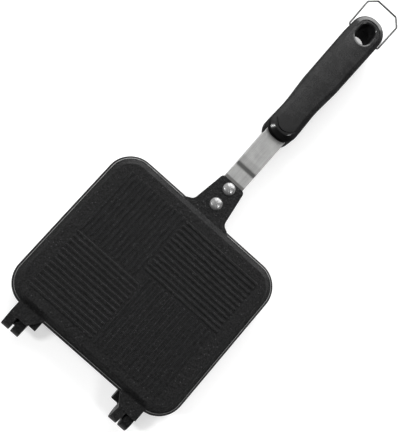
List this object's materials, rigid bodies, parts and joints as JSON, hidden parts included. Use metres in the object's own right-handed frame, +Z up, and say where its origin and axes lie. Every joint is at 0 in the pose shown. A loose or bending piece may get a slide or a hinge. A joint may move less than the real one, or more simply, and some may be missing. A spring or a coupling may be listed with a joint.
{
  "type": "pie iron",
  "caption": "Hinged toasted-sandwich iron: rectangular ribbed cast pans, riveted steel straps, black grips with a hanging hole and a wire bail that locks them.",
  "frame": {"origin": "centre of the lower pan's flat resting face, on the tops of its ribs", "axes": "+X along the handle, away from the hinge; +Z up, out of the upper pan; +Y across the pans"},
  "size_m": [0.3694, 0.15, 0.0316],
  "materials": {
    "pan_casting": "matte black non-stick coating on cast aluminium, fine grain",
    "hinge_pin": "plain steel, satin",
    "strap": "stainless steel, brushed along its length",
    "rivet": "bright aluminium, domed head",
    "grip": "black phenolic moulding, satin",
    "screw": "zinc plated steel",
    "wire": "bright spring wire"
  },
  "bodies": {
    "lower_half": {"lower_pan": "pan_casting", "lower_hinge_pin": "hinge_pin", "lower_handle_strap": "strap", "lower_rivets": "rivet", "lower_grip": "grip", "lower_grip_screw": "screw"},
    "upper_half": {"upper_pan": "pan_casting", "upper_hinge_pin": "hinge_pin", "upper_handle_strap": "strap", "upper_rivets": "rivet", "upper_grip": "grip", "upper_grip_screw": "screw"},
    "bail": {"lock_bail": "wire"}
  },
  "joints": [
    {"name": "pan_hinge", "type": "hinge", "parent": "lower_half", "child": "upper_half", "pos_m": [-0.07835, 0, 0.0158], "axis": [0, -1, 0], "range_deg": [0, 180]},
    {"name": "bail_swing", "type": "hinge", "parent": "upper_half", "child": "bail", "pos_m": [0.25295, 0, 0.02345], "axis": [0, -1, 0], "range_deg": [-125, 162]}
  ]
}
